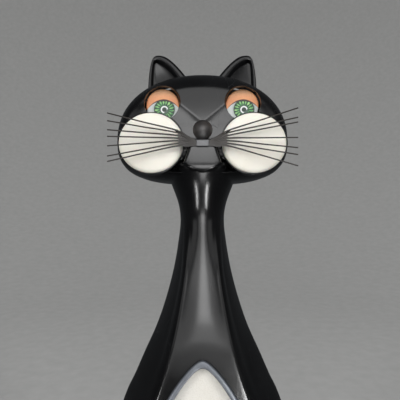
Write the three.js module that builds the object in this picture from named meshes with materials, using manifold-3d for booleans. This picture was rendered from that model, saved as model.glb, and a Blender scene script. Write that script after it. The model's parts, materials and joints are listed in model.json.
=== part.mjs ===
// Electric wall clock shaped as a sitting cat. The tail swings as a pendulum and a rocker
// carries its motion up the neck to the eyes. Millimetres, +Z up. The wall is the plane
// Y = 0, the face looks along -Y, and the origin is where the hanging slot rests on its hook.
import * as THREE from 'three';
import { mergeVertices } from 'three/addons/utils/BufferGeometryUtils.js';
import Module from 'manifold-3d';

const wasm = await Module();
wasm.setup();

// ---- driving dimensions ----
const WALL = 2;
const GAP = 0.3;
const HEAD = { halfWidth: 58, top: 36.5, bottom: -37, waist: -8, depth: 45, rimDepth: 15 };
const BODY = { bottom: -290, depth: 40, neckDepth: 30, rimDepth: 8 };
const EAR = { tipX: 31, tipZ: 53.4, outerX: 38.2, innerX: 8, front: -15, back: -1 };
const EYE = { x: 25.7, z: 13, opening: 11.1, disc: 10.6, front: -35.6, thickness: 1, travel: 3 };
const CHEEK = { x: 32.2, z: -12.4, halfWidth: 20.2, halfHeight: 18.8, seat: -43, rim: -44.5 };
const NOSE = { z: -5.5, y: -51.4, radius: 6 };
const WHISKER = { y: -50.6, thickness: 0.9, width: 1, rootX: 16, tipX: 58 };
const DIAL = { z: -208, halfWidth: 36.5, halfHeight: 60, power: 1.3, blunt: 3, bezel: 5 };
const COVER = { back: -8, front: -9.6 };
const CHASSIS = { back: -12.4, front: -13.6, halfWidth: 31, top: -152, bottom: -283 };
const PLATE = { back: -17.4, front: -32, thickness: 1.2, halfWidth: 21, top: -187, bottom: -237 };
const TAIL = { pivotZ: -254, fork: 12, lever: -21.4, top: -261, width: 9.5, thickness: 6 };
const ROCKER = { pivotZ: -140, back: -14.8, front: -16 };
const SET = { x: 9.9, z: DIAL.z + 9.9, radius: 1.2 };
const MOTOR = { z: DIAL.z - 14.4, radius: 12, back: -22.4, front: -30.5 };

// how finely the outer faces are divided, and the faces of the hollow and the cover in it
const OUTER = { headPoints: 40, bodySteps: 22 };
const INNER = { headPoints: 28, bodySteps: 16 };

// ---- materials ----
function material(color, roughness, metalness = 0) {
  return new THREE.MeshStandardMaterial({ color, roughness, metalness });
}
const BLACK = material(0x0b0b0c, 0.22);
const BACK_BLACK = material(0x151516, 0.5);
const CREAM = material(0xebe6d8, 0.35);
const NOSE_BLACK = material(0x1b1a1a, 0.55);
const WHISKER_BROWN = material(0x211d1a, 0.5);
const CLIP_GREY = material(0x9c9d9f, 0.45);
const EYE_PRINT = material(0xe99b66, 0.5);
const BEZEL_METAL = material(0x5e6670, 0.3, 0.9);
const DIAL_WHITE = material(0xe4e1da, 0.7);
const HAND_BLACK = material(0x141414, 0.4);
const STEEL = material(0x9a9da0, 0.35, 0.9);
const BRASS = material(0xb8913f, 0.35, 0.9);
const COPPER = material(0x8d4a22, 0.45, 0.6);
const NYLON = material(0xdcd8c8, 0.5);
const MAGNET = material(0x3a3a3d, 0.5, 0.5);

// ---- solids ----
function solid(geometry) {
  const bare = geometry.index ? geometry.clone() : geometry;
  bare.deleteAttribute('normal');
  bare.deleteAttribute('uv');
  const merged = mergeVertices(bare);
  return new wasm.Manifold(new wasm.Mesh({
    numProp: 3,
    vertProperties: new Float32Array(merged.attributes.position.array),
    triVerts: new Uint32Array(merged.index.array),
  }));
}

function surface(body) {
  const mesh = body.getMesh();
  const geometry = new THREE.BufferGeometry();
  geometry.setAttribute('position', new THREE.BufferAttribute(mesh.vertProperties, 3));
  geometry.setIndex(new THREE.BufferAttribute(mesh.triVerts, 1));
  geometry.computeVertexNormals();
  return geometry;
}

function block(x0, x1, y0, y1, z0, z1) {
  const box = new THREE.BoxGeometry(x1 - x0, y1 - y0, z1 - z0);
  return solid(box.translate((x0 + x1) / 2, (y0 + y1) / 2, (z0 + z1) / 2));
}

// a round bar along Y, between y0 and y1
function bar(radius, y0, y1, x = 0, z = 0, sides = 18) {
  const rod = new THREE.CylinderGeometry(radius, radius, y1 - y0, sides);
  return solid(rod.translate(x, (y0 + y1) / 2, z));
}

function tube(outer, inner, y0, y1, x = 0, z = 0, sides = 20) {
  const profile = [[inner, y0], [outer, y0], [outer, y1], [inner, y1], [inner, y0]];
  const ring = new THREE.LatheGeometry(profile.map(([r, y]) => new THREE.Vector2(r, y)), sides);
  return solid(ring.translate(x, 0, z));
}

// a flat outline drawn in X and Z, made into a plate between y0 and y1
function plate(shape, y0, y1, bevel = 0) {
  const flat = new THREE.ExtrudeGeometry(shape, {
    depth: y1 - y0 - 2 * bevel,
    bevelEnabled: bevel > 0,
    bevelThickness: bevel,
    bevelSize: bevel,
    bevelOffset: -bevel,
    bevelSegments: 1,
    curveSegments: 7,
  });
  return solid(flat.rotateX(Math.PI / 2).translate(0, y1 - bevel, 0));
}

// skin over rings of equal point count, closed at both ends
function loft(rings) {
  const count = rings[0].length;
  const points = rings.flat();
  const index = [];
  for (let r = 0; r + 1 < rings.length; r++) {
    for (let i = 0; i < count; i++) {
      const a = r * count + i;
      const b = r * count + ((i + 1) % count);
      index.push(a, b, b + count, a, b + count, a + count);
    }
  }
  const last = (rings.length - 1) * count;
  for (let i = 1; i + 1 < count; i++) {
    index.push(0, i + 1, i, last, last + i, last + i + 1);
  }
  // rings may run either way round, so the faces are turned to point outwards
  let volume = 0;
  for (let i = 0; i < index.length; i += 3) {
    const [a, b, c] = [points[index[i]], points[index[i + 1]], points[index[i + 2]]];
    volume += a.dot(b.clone().cross(c));
  }
  const geometry = new THREE.BufferGeometry().setFromPoints(points);
  geometry.setIndex(volume < 0 ? index.reverse() : index);
  return solid(geometry);
}

function joinAll(bodies) {
  return bodies.reduce((sum, body) => sum.add(body));
}

// ---- outlines ----
function superellipse(halfWidth, up, down, powerUp, powerDown, centreZ, count) {
  const points = [];
  for (let i = 0; i < count; i++) {
    const angle = (i / count) * 2 * Math.PI;
    const c = Math.cos(angle);
    const s = Math.sin(angle);
    const power = s >= 0 ? powerUp : powerDown;
    const height = s >= 0 ? up : down;
    const x = halfWidth * Math.sign(c) * Math.abs(c) ** (2 / power);
    const z = centreZ + height * Math.sign(s) * Math.abs(s) ** (2 / power);
    points.push(new THREE.Vector2(x, z));
  }
  return points;
}

function headRing(y, inset, count) {
  const up = HEAD.top - HEAD.waist - inset;
  const down = HEAD.waist - HEAD.bottom - inset;
  const outline = superellipse(HEAD.halfWidth - inset, up, down, 2.15, 3, HEAD.waist, count);
  return outline.map((p) => new THREE.Vector3(p.x, y, p.y));
}

// the head is a dished oval: a straight rim, then an edge that rounds in to a nearly flat face
function headSolid(inset, back) {
  const dome = [[0, 0], [0.4, 1.4], [0.7, 4.6], [0.88, 8.6], [0.96, 12.5], [1, 22]];
  const rise = HEAD.depth - HEAD.rimDepth - inset;
  const count = inset > 0 ? INNER.headPoints : OUTER.headPoints;
  const rings = dome.map(([t, shrink]) => headRing(-HEAD.rimDepth - t * rise, shrink + inset, count));
  return loft([headRing(back, inset, count), ...rings]);
}

// half width against height, from inside the head down to the base
const bodySide = new THREE.SplineCurve([
  [27, -24], [21.5, -37.5], [16.8, -50.8], [15.5, -62.7], [16.9, -76.7], [20.1, -95.6],
  [25.5, -116.6], [32.9, -138.3], [42, -158.6], [49, -174.7], [55.3, -188], [61, -208],
  [63, -228], [61, -248], [54.5, -266], [44, -279], [31, -287], [20, BODY.bottom],
].map(([w, z]) => new THREE.Vector2(w, z)));

function bodyDepth(z) {
  const belly = THREE.MathUtils.smoothstep(-z, 60, 140);
  const foot = Math.max(0, (-z - 272) / (-BODY.bottom - 272));
  return BODY.neckDepth + (BODY.depth - BODY.neckDepth) * belly - 6 * foot * foot;
}

function bodyRing(halfWidth, z, inset, back) {
  const depth = bodyDepth(z) - inset;
  const w = halfWidth - inset;
  const flat = w * (0.58 + 0.1 * THREE.MathUtils.smoothstep(-z, 150, 210));
  const shoulder = new THREE.QuadraticBezierCurve(
    new THREE.Vector2(flat - 2, -depth),
    new THREE.Vector2(flat + 2, -depth),
    new THREE.Vector2(flat + 0.35 * (w - flat), -depth + 0.3 * (depth - BODY.rimDepth)),
  );
  const half = [...shoulder.getPoints(3), new THREE.Vector2(w, -BODY.rimDepth), new THREE.Vector2(w, back)];
  const mirrored = half.map((p) => new THREE.Vector2(-p.x, p.y)).reverse();
  return [...half, ...mirrored].map((p) => new THREE.Vector3(p.x, p.y, z));
}

function bodySolid(inset, back) {
  const steps = inset > 0 ? INNER.bodySteps : OUTER.bodySteps;
  const rings = bodySide.getPoints(steps).map((p) => {
    const z = Math.max(p.y, BODY.bottom + inset);
    return bodyRing(p.x, z, inset, back);
  });
  return loft(rings);
}

function earShape(inset) {
  const side = new THREE.Vector2(EAR.outerX - inset, 18);
  const tip = new THREE.Vector2(EAR.tipX - 0.35 * inset, EAR.tipZ - 2.2 * inset);
  const shape = new THREE.Shape();
  shape.moveTo(side.x, side.y);
  shape.quadraticCurveTo(EAR.outerX - inset + 0.2, 40, tip.x + 4.6, tip.y - 4);
  shape.quadraticCurveTo(tip.x + 3.2, tip.y, tip.x, tip.y);
  shape.quadraticCurveTo(tip.x - 3.4, tip.y, tip.x - 6, tip.y - 1.4);
  shape.quadraticCurveTo(EAR.innerX + 10 + inset, 48 - inset, EAR.innerX + 1.4 * inset, 34 - inset);
  shape.lineTo(EAR.innerX + inset, 18);
  return shape;
}

function ovalShape(halfWidth, halfHeight, x, z) {
  const shape = new THREE.Shape();
  shape.absellipse(x, z, halfWidth, halfHeight, 0, 2 * Math.PI);
  return shape;
}

function dialShape(inset) {
  const w = DIAL.halfWidth - inset;
  const h = DIAL.halfHeight - inset;
  const points = superellipse(w, h, h, DIAL.power, DIAL.power, 0, 48);
  for (const point of points) {
    // the points at the top and bottom are rounded off
    const share = Math.hypot(point.x, DIAL.blunt * (1 - Math.abs(point.x) / w)) / w;
    const reach = h * Math.max(0, 1 - share ** DIAL.power) ** (1 / DIAL.power);
    point.y = DIAL.z + Math.sign(point.y) * reach;
  }
  return new THREE.Shape(points);
}

function mirrorX(shape) {
  return new THREE.Shape(shape.getPoints(8).map((p) => new THREE.Vector2(-p.x, p.y)).reverse());
}

// ---- fixing points ----
const coverScrews = [[46, -2], [-46, -2], [22, -133], [-22, -133], [49, -240], [-49, -240]];
const chassisScrews = [[27, -162], [-27, -162], [27, -272], [-27, -272]];
const pillars = [[17.5, -190.5], [-17.5, -190.5], [17.5, -233.5], [-17.5, -233.5]];
const LEAD = { x: -36, z: -262, radius: 3 };

// ---- front shell ----
// room behind the front wall for an eye disc to slide sideways
function eyePocket(side) {
  const radius = EYE.disc + GAP;
  const y0 = EYE.front - 0.5;
  const y1 = -HEAD.rimDepth - 5;
  const x = side * EYE.x;
  return joinAll([
    bar(radius, y0, y1, x - EYE.travel, EYE.z, 32),
    bar(radius, y0, y1, x + EYE.travel, EYE.z, 32),
    block(x - EYE.travel, x + EYE.travel, y0, y1, EYE.z - radius, EYE.z + radius),
  ]);
}

function frontShell() {
  const earBack = earShape(2.2);
  const mirrored = mirrorX(earShape(0));
  let shell = joinAll([
    headSolid(0, 0),
    bodySolid(0, 0),
    plate(earShape(0), EAR.front, EAR.back, 1.2),
    plate(mirrored, EAR.front, EAR.back, 1.2),
  ]);
  const hollows = [headSolid(WALL, 1), bodySolid(WALL, 1), eyePocket(-1), eyePocket(1)];
  for (const shape of [earBack, mirrorX(earBack)]) {
    hollows.push(plate(shape, EAR.front + 3, 1));
  }
  for (const shape of [earShape(3.4), mirrorX(earShape(3.4))]) {
    hollows.push(plate(shape, EAR.front - 1, EAR.front + 1));
  }
  shell = shell.subtract(joinAll(hollows));

  const openings = [plate(dialShape(1.5), -BODY.depth - 1, -BODY.depth + WALL + 1)];
  for (const side of [-1, 1]) {
    openings.push(bar(EYE.opening, -HEAD.depth - 1, -HEAD.rimDepth - 14, side * EYE.x, EYE.z, 32));
  }
  // slot in the base for the tail, and a notch in the rim for the lead
  openings.push(block(-13.5, 13.5, -32.5, -19.5, BODY.bottom - 1, BODY.bottom + WALL + 1));
  openings.push(block(LEAD.x - 3, LEAD.x + 3, -6, 1, BODY.bottom - 1, -274));
  shell = shell.subtract(joinAll(openings));

  // oval cheek seats with a raised rim, and the muzzle between them
  const additions = [];
  for (const side of [-1, 1]) {
    const rim = ovalShape(CHEEK.halfWidth + 1.2, CHEEK.halfHeight + 1.2, side * CHEEK.x, CHEEK.z);
    additions.push(plate(rim, CHEEK.rim, CHEEK.rim + 4.5));
  }
  const muzzle = new THREE.Shape();
  muzzle.moveTo(8.2, -14.5);
  muzzle.quadraticCurveTo(9.5, -19, 12, -25.5);
  muzzle.quadraticCurveTo(7, -30, 0, -30);
  muzzle.quadraticCurveTo(-7, -30, -12, -25.5);
  muzzle.quadraticCurveTo(-9.5, -19, -8.2, -14.5);
  muzzle.closePath();
  additions.push(plate(muzzle, -50, -42.5, 1.5));
  // screw posts run back from the front wall, trimmed where that wall slopes
  const posts = [
    ...coverScrews.map(([x, z]) => bar(3.4, -HEAD.depth, COVER.front - GAP, x, z, 10)),
    ...chassisScrews.map(([x, z]) => bar(3.4, -HEAD.depth, CHASSIS.front - GAP, x, z, 10)),
  ];
  const envelope = headSolid(WALL / 2, 0).add(bodySolid(WALL / 2, 0));
  shell = shell.add(joinAll(additions)).add(joinAll(posts).intersect(envelope));

  const recesses = [];
  for (const side of [-1, 1]) {
    const seat = ovalShape(CHEEK.halfWidth + GAP, CHEEK.halfHeight + GAP, side * CHEEK.x, CHEEK.z);
    recesses.push(plate(seat, CHEEK.rim - 4, CHEEK.seat));
  }
  for (const [x, z] of [...coverScrews, ...chassisScrews]) {
    recesses.push(bar(1.8, -24, -9, x, z, 8));
  }
  return shell.subtract(joinAll(recesses));
}

// ---- back cover, hanger and lead bush ----
function keyhole(grow) {
  return joinAll([
    bar(4.6 + grow, -12, 0, 0, -11),
    bar(2.4 + grow, -12, 0, 0, 0),
    block(-2.4 - grow, 2.4 + grow, -12, 0, -11, 0),
  ]);
}

function backCover() {
  const slab = block(-80, 80, COVER.front, COVER.back, -320, 80);
  const cuts = [keyhole(1), bar(2, -12, 0, SET.x, SET.z), bar(3.6, -12, 0, LEAD.x, LEAD.z)];
  for (const [x, z] of coverScrews) {
    cuts.push(bar(1.8, -12, 0, x, z, 12));
  }
  for (let i = 0; i < 6; i++) {
    const z = -150 - 5 * i;
    cuts.push(block(-14, 14, -12, 0, z - 0.9, z + 0.9));
  }
  const inside = headSolid(WALL + 0.8, 0).add(bodySolid(WALL + 0.8, 0));
  return slab.intersect(inside).subtract(joinAll(cuts));
}

function screw(x, z, head, shank, headTop) {
  const base = headTop - 1.8;
  return bar(head, base, headTop, x, z, 12).add(bar(shank, base - 8, base + 0.2, x, z, 6))
    .subtract(block(x - head, x + head, headTop - 0.8, headTop + 1, z - 0.4, z + 0.4));
}

// ---- whiskers: a fan cut from one sheet ----
function whiskers(side, tips) {
  const roots = [-5.6, -7, -8.7, -10.4, -12, -13.7, -15.2];
  const half = WHISKER.width / 2;
  const shape = new THREE.Shape();
  shape.moveTo(side * 0.4, -11.9);
  shape.lineTo(side * 4, -11.9);
  roots.forEach((root, i) => {
    shape.lineTo(side * WHISKER.rootX, root + half);
    shape.lineTo(side * WHISKER.tipX, tips[i] + half * 0.6);
    shape.lineTo(side * WHISKER.tipX, tips[i] - half * 0.6);
    shape.lineTo(side * WHISKER.rootX, root - half);
  });
  shape.lineTo(side * 4, -15.1);
  shape.lineTo(side * 0.4, -15.1);
  return plate(shape, WHISKER.y - WHISKER.thickness, WHISKER.y);
}

// ---- gears: straight-flanked teeth about an axis along Y, one tooth pointing at `phase` ----
function gear(teeth, module, y0, y1, x, z, phase) {
  const pitch = (teeth * module) / 2;
  const step = (2 * Math.PI) / teeth;
  const flank = [[-0.34, -1.25], [-0.12, 0.75], [0.12, 0.75], [0.34, -1.25]];
  const points = [];
  for (let i = 0; i < teeth; i++) {
    for (const [turn, rise] of flank) {
      const angle = phase + (i + turn) * step;
      const radius = pitch + rise * module;
      points.push(new THREE.Vector2(x + radius * Math.cos(angle), z + radius * Math.sin(angle)));
    }
  }
  return plate(new THREE.Shape(points), y0, y1);
}

// ---- hands ----
function hand(length, width, hub, hole, y0, y1, angle) {
  const shape = new THREE.Shape();
  shape.moveTo(-width * 0.3, -7);
  shape.lineTo(width * 0.3, -7);
  shape.lineTo(width / 2, 0);
  shape.lineTo(width / 2, length * 0.6);
  shape.lineTo(0.3, length);
  shape.lineTo(-0.3, length);
  shape.lineTo(-width / 2, length * 0.6);
  shape.lineTo(-width / 2, 0);
  const blade = plate(shape, y0, y1).rotate([0, angle, 0]).translate([0, 0, DIAL.z]);
  return blade.add(bar(hub, y0, y1, 0, DIAL.z, 16)).subtract(bar(hole, y0 - 1, y1 + 1, 0, DIAL.z, 16));
}

// ---- tail: a flattened bar that leaves the base straight, then sways and curls ----
function tail() {
  const path = new THREE.CatmullRomCurve3([
    [0, TAIL.top], [0, -282], [-0.5, -300], [-5, -320], [-7, -340], [-1.5, -359], [9, -371],
    [17, -378], [21.5, -387],
  ].map(([x, z]) => new THREE.Vector3(x, 0, z)));
  const steps = 20;
  const middleY = TAIL.lever - 1.4 - GAP - TAIL.thickness / 2;
  const squarish = (value) => Math.sign(value) * Math.abs(value) ** 0.7;
  const rings = [];
  for (let i = 0; i <= steps; i++) {
    const t = i / steps;
    const centre = path.getPointAt(t);
    const along = path.getTangentAt(t);
    const across = new THREE.Vector3(-along.z, 0, along.x);
    const roundedTip = Math.sqrt(Math.min(1, 0.35 + 14 * (1 - t)));
    const halfWidth = (TAIL.width / 2) * (1 - 0.25 * t) * roundedTip;
    const halfThickness = (TAIL.thickness / 2) * roundedTip;
    const ring = [];
    for (let k = 0; k < 10; k++) {
      const angle = (k / 10) * 2 * Math.PI;
      const point = centre.clone().addScaledVector(across, halfWidth * squarish(Math.cos(angle)));
      point.y += middleY + halfThickness * squarish(Math.sin(angle));
      ring.push(point);
    }
    rings.push(ring);
  }
  return loft(rings);
}

function tailLever() {
  const y0 = TAIL.lever - 1.4;
  const y1 = TAIL.lever;
  const forkZ = TAIL.pivotZ + TAIL.fork;
  return joinAll([
    block(-3.6, 3.6, y0, y1, -280, forkZ + 3.5),
    bar(5, y0, y1, 0, TAIL.pivotZ),
  ]).subtract(joinAll([
    block(-1.4, 1.4, y0 - 1, y1 + 1, forkZ - 3.5, forkZ + 5),
    bar(1.8, y0 - 1, y1 + 1, 0, TAIL.pivotZ),
  ]));
}

// ---- eyes ----
function eyeRocker() {
  const forkZ = TAIL.pivotZ + TAIL.fork;
  return joinAll([
    block(-1.5, 1.5, ROCKER.front, ROCKER.back, forkZ - 1.5, -1),
    bar(4, ROCKER.front, ROCKER.back, 0, ROCKER.pivotZ),
    bar(1, TAIL.lever - 3, ROCKER.back - 0.2, 0, forkZ, 12),
    block(-1.5, 1.5, EYE.front + EYE.thickness + 2 * GAP + 1.2, ROCKER.back, -5, -1),
  ]).subtract(bar(1.5, ROCKER.front - 1, ROCKER.back + 1, 0, ROCKER.pivotZ));
}

function eyeCarrier() {
  const y0 = EYE.front + EYE.thickness + GAP;
  return block(-EYE.x - 2, EYE.x + 2, y0, y0 + 1.2, EYE.z - 2.5, EYE.z + 2.5)
    .add(block(-3, 3, y0, y0 + 1.2, -6, EYE.z));
}

// ---- movement ----
function movementPlate(y0) {
  const y1 = y0 + PLATE.thickness;
  const holes = [bar(1.8, y0 - 1, y1 + 1, 0, DIAL.z), bar(1.5, y0 - 1, y1 + 1, SET.x, SET.z)];
  if (y0 < PLATE.front + 1) {
    return block(-PLATE.halfWidth, PLATE.halfWidth, y0, y1, PLATE.bottom, PLATE.top)
      .subtract(joinAll(holes));
  }
  for (const [x, z] of pillars) {
    holes.push(bar(2.3, y0 - 1, y1 + 1, x, z, 16));
  }
  return block(-PLATE.halfWidth, PLATE.halfWidth, y0, y1, PLATE.bottom, PLATE.top)
    .subtract(joinAll(holes));
}

function chassisPlate() {
  const y0 = CHASSIS.front;
  const y1 = CHASSIS.back;
  const holes = [
    bar(2, y0 - 1, y1 + 1, SET.x, SET.z),
    bar(1.8, y0 - 1, y1 + 1, 0, TAIL.pivotZ),
    bar(1.5, y0 - 1, y1 + 1, 0, ROCKER.pivotZ),
  ];
  for (const [x, z] of chassisScrews) {
    holes.push(bar(1.8, y0 - 1, y1 + 1, x, z, 12));
  }
  for (const side of [-1, 1]) {
    holes.push(block(side * 22 - 6, side * 22 + 6, y0 - 1, y1 + 1, -226, -198));
  }
  return block(-CHASSIS.halfWidth, CHASSIS.halfWidth, y0, y1, CHASSIS.bottom, CHASSIS.top)
    .add(block(-7, 7, y0, y1, CHASSIS.top - 1, ROCKER.pivotZ + 6))
    .subtract(joinAll(holes));
}

function motorCan() {
  return bar(MOTOR.radius, MOTOR.front, MOTOR.back, 0, MOTOR.z, 32)
    .subtract(bar(MOTOR.radius - 0.8, MOTOR.front + 0.8, MOTOR.back + 1, 0, MOTOR.z, 32));
}

function pin(radius, headRadius, y0, y1, z) {
  return bar(radius, y0, y1, 0, z, 16).add(bar(headRadius, y0 - 0.8, y0, 0, z, 16));
}

// the centre arbor carries the minute pinion, and its front end the minute hand
const MESH_ANGLE = Math.PI / 4;
function centreArbor() {
  return bar(1.5, -42.1, -16.8, 0, DIAL.z)
    .add(gear(12, 28 / 48, -34, -32.3, 0, DIAL.z, MESH_ANGLE));
}

function motionWheel() {
  const facing = MESH_ANGLE + Math.PI;
  return joinAll([
    gear(36, 28 / 48, -33.8, -32.3, SET.x, SET.z, facing + Math.PI / 36),
    gear(8, 0.7, -35.9, -33.8, SET.x, SET.z, facing + Math.PI / 8),
    bar(SET.radius, -35.9, -3.8, SET.x, SET.z, 16),
  ]);
}

function hourWheel() {
  return gear(32, 0.7, -35.9, -34.6, 0, DIAL.z, MESH_ANGLE)
    .add(bar(2.8, -40.9, -34.6, 0, DIAL.z))
    .subtract(bar(1.8, -42, -34, 0, DIAL.z));
}

function setKnob() {
  const ridges = [];
  for (let i = 0; i < 12; i++) {
    const angle = (i / 12) * 2 * Math.PI;
    ridges.push(bar(0.7, -8, 0, SET.x + 6.2 * Math.cos(angle), SET.z + 6.2 * Math.sin(angle), 8));
  }
  return bar(6, -7.4, -1.4, SET.x, SET.z, 32)
    .subtract(joinAll([bar(1.5, -8, -3.5, SET.x, SET.z, 16), ...ridges]));
}

function driveWheel() {
  const spokes = [];
  for (let i = 0; i < 4; i++) {
    const angle = (i / 4) * 2 * Math.PI;
    spokes.push(bar(2.6, -22, -18, 6.4 * Math.cos(angle), DIAL.z + 6.4 * Math.sin(angle), 10));
  }
  return gear(40, 0.6, -20.6, -19.6, 0, DIAL.z, -Math.PI / 2)
    .subtract(joinAll([bar(1.8, -22, -18, 0, DIAL.z), ...spokes]));
}

function outputPinion() {
  return gear(8, 0.6, -22, -19.4, 0, MOTOR.z, Math.PI / 2 + Math.PI / 8);
}

// ---- assembly ----
const clock = new THREE.Group();

function part(name, body, look) {
  const mesh = new THREE.Mesh(surface(body), look);
  mesh.name = name;
  clock.add(mesh);
}

part('front_shell', frontShell(), BLACK);
part('back_cover', backCover(), BACK_BLACK);
part('hanger_plate', block(-13, 13, -7.7, -6.7, -20, 8).subtract(keyhole(0)), STEEL);
const bushFlange = tube(5.2, 2, -7.7, -5, LEAD.x, LEAD.z);
part('lead_bush', bushFlange.add(tube(3.3, 2, -11, -7.2, LEAD.x, LEAD.z)), BACK_BLACK);
coverScrews.forEach(([x, z], i) => {
  part(`cover_screw_${i + 1}`, screw(x, z, 2.8, 1.4, -5.9), STEEL);
});
chassisScrews.forEach(([x, z], i) => {
  part(`chassis_screw_${i + 1}`, screw(x, z, 2.8, 1.4, -10.3), STEEL);
});

for (const [name, side] of [['left', -1], ['right', 1]]) {
  const oval = ovalShape(CHEEK.halfWidth, CHEEK.halfHeight, side * CHEEK.x, CHEEK.z);
  part(`${name}_cheek`, plate(oval, CHEEK.rim - 2, CHEEK.seat - GAP, 1.2), CREAM);
  const eye = bar(EYE.disc, EYE.front, EYE.front + EYE.thickness, side * EYE.x, EYE.z, 36);
  part(`${name}_eye`, eye, EYE_PRINT);
}
part('left_whiskers', whiskers(-1, [4.9, 0.2, -5.3, -9.3, -15.1, -21.3, -24.6]), WHISKER_BROWN);
part('right_whiskers', whiskers(1, [8, 2.3, -0.6, -10, -16.2, -20.4, -27.2]), WHISKER_BROWN);
const clipFront = WHISKER.y - WHISKER.thickness - GAP;
part('whisker_clip', block(-3.6, 3.6, clipFront - 1.2, clipFront, -15.2, -11.8), CLIP_GREY);
const ball = new THREE.SphereGeometry(NOSE.radius, 16, 10).translate(0, NOSE.y, NOSE.z);
part('nose', solid(ball).subtract(block(-8, 8, -45.4, -40, -14, 4)), NOSE_BLACK);

part('eye_rocker', eyeRocker(), STEEL);
part('eye_carrier', eyeCarrier(), NYLON);
part('eye_pivot_pin', pin(1.2, 2.2, -17.2, -12.6, ROCKER.pivotZ), BRASS);
part('tail_pivot_pin', pin(1.5, 2.6, -24, -12.6, TAIL.pivotZ), BRASS);
part('tail_lever', tailLever(), STEEL);
part('tail', tail(), BLACK);
part('pendulum_magnet', bar(5, TAIL.lever + GAP, TAIL.lever + 2.5, 0, -272), MAGNET);
part('drive_coil', tube(9, 3.2, -18, CHASSIS.front - GAP, 0, -272), COPPER);
part('coil_core', bar(2.8, -18.4, CHASSIS.front - GAP, 0, -272), STEEL);
part('terminal_block', block(-29, -15, -22, CHASSIS.front - GAP, -260, -246), NYLON);

part('chassis_plate', chassisPlate(), STEEL);
part('movement_rear_plate', movementPlate(PLATE.back - PLATE.thickness), BRASS);
part('movement_front_plate', movementPlate(PLATE.front), BRASS);
const pillarFront = PLATE.front + PLATE.thickness + GAP;
pillars.forEach(([x, z], i) => {
  part(`pillar_${i + 1}`, bar(2, pillarFront, CHASSIS.front - GAP, x, z, 16), BRASS);
});

part('motor_can', motorCan(), STEEL);
part('motor_coil', tube(10.8, 6.6, -29, -23.2, 0, MOTOR.z), COPPER);
part('rotor', tube(6, 1.2, -28.8, -23.4, 0, MOTOR.z), MAGNET);
part('output_pinion', outputPinion(), BRASS);
part('drive_wheel', driveWheel(), BRASS);
part('clutch_spring', tube(5, 1.8, -21.4, -20.9, 0, DIAL.z), BRASS);
part('centre_arbor', centreArbor(), STEEL);
part('motion_wheel', motionWheel(), NYLON);
part('hour_wheel', hourWheel(), NYLON);
part('set_knob', setKnob(), BACK_BLACK);

const dialFront = -BODY.depth + WALL + 0.5;
const arborHole = bar(3.3, -40, -36, 0, DIAL.z);
part('dial_plate', plate(dialShape(-0.6), dialFront, dialFront + 1).subtract(arborHole), DIAL_WHITE);
const bezelLip = plate(dialShape(0), -BODY.depth - 2.3, -BODY.depth - GAP, 0.6);
part('dial_bezel', bezelLip.add(plate(dialShape(2), -BODY.depth - 1, dialFront - GAP))
  .subtract(plate(dialShape(DIAL.bezel), -44, -36)), BEZEL_METAL);
part('hour_hand', hand(17, 3.4, 4.4, 3.1, -40.2, -39.5, -60), HAND_BLACK);
part('minute_hand', hand(25, 2.6, 3.4, 1.8, -41.9, -41.2, 54), HAND_BLACK);
part('hand_nut', bar(2.6, -43.9, -42.4, 0, DIAL.z, 20), BRASS);

export default clock;
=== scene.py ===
"""Looks of the cat tail clock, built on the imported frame. Lengths are in millimetres (the
wall is Y = 0, the face looks along -Y, up is Z) and become metres on the meshes."""
import itertools
import json
import math

import bmesh
import bpy
import numpy as np
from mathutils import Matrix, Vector

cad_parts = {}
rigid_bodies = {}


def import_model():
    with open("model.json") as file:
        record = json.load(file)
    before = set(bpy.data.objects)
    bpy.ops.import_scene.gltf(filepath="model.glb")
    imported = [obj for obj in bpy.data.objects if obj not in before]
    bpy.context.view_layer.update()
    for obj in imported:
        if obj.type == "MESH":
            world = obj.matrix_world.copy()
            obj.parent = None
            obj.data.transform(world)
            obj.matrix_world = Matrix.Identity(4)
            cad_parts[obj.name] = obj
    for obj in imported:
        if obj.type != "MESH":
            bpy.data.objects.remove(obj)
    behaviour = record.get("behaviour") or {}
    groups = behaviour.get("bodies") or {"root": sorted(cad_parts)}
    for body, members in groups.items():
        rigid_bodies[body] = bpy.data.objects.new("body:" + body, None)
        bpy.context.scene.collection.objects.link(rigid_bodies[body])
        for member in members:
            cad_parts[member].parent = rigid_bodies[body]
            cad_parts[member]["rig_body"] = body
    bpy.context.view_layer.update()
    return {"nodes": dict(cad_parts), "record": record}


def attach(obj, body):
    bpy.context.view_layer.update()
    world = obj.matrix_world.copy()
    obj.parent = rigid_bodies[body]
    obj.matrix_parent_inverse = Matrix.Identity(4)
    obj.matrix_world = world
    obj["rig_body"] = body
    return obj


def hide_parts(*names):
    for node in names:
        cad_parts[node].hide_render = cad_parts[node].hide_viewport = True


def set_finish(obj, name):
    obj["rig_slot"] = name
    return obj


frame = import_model()
MM = 0.001

# ---- sizes shared by several pieces ----
WALL = 2.0
ROUND_SIDES = 96
HEAD = {"half_width": 58, "top": 36.5, "bottom": -37, "waist": -8, "depth": 45, "rim": 15}
HEAD_POWER_UP, HEAD_POWER_DOWN = 2.15, 3.0
BODY = {"bottom": -290, "depth": 40, "neck_depth": 30, "rim": 8}
EAR = {"tip_x": 31, "tip_z": 53.4, "outer_x": 38.2, "inner_x": 8, "front": -15, "back": -1}
EYE = {"x": 25.7, "z": 13, "opening": 11.1, "disc": 10.6, "front": -35.6, "thickness": 1, "travel": 3}
CHEEK = {"x": 32.2, "z": -12.4, "half_width": 20.2, "half_height": 18.8, "back": -43.3}
CHEEK_RIM = -44.5
CHEEK_RISE = 1.7
BROW = {"depth": 1.5, "spread": 7, "bridge_slope": 1.2, "bridge_foot": 0.6}
SNOUT_SIDES, CHIN_SIDES = 4, 6
MUZZLE = {"top": -13, "middle": -21, "bottom": -31, "root": -42, "front": -49.8, "roll": -25.5}
NOSE = {"y": -51.4, "z": -5.5, "radius": 6}
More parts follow.
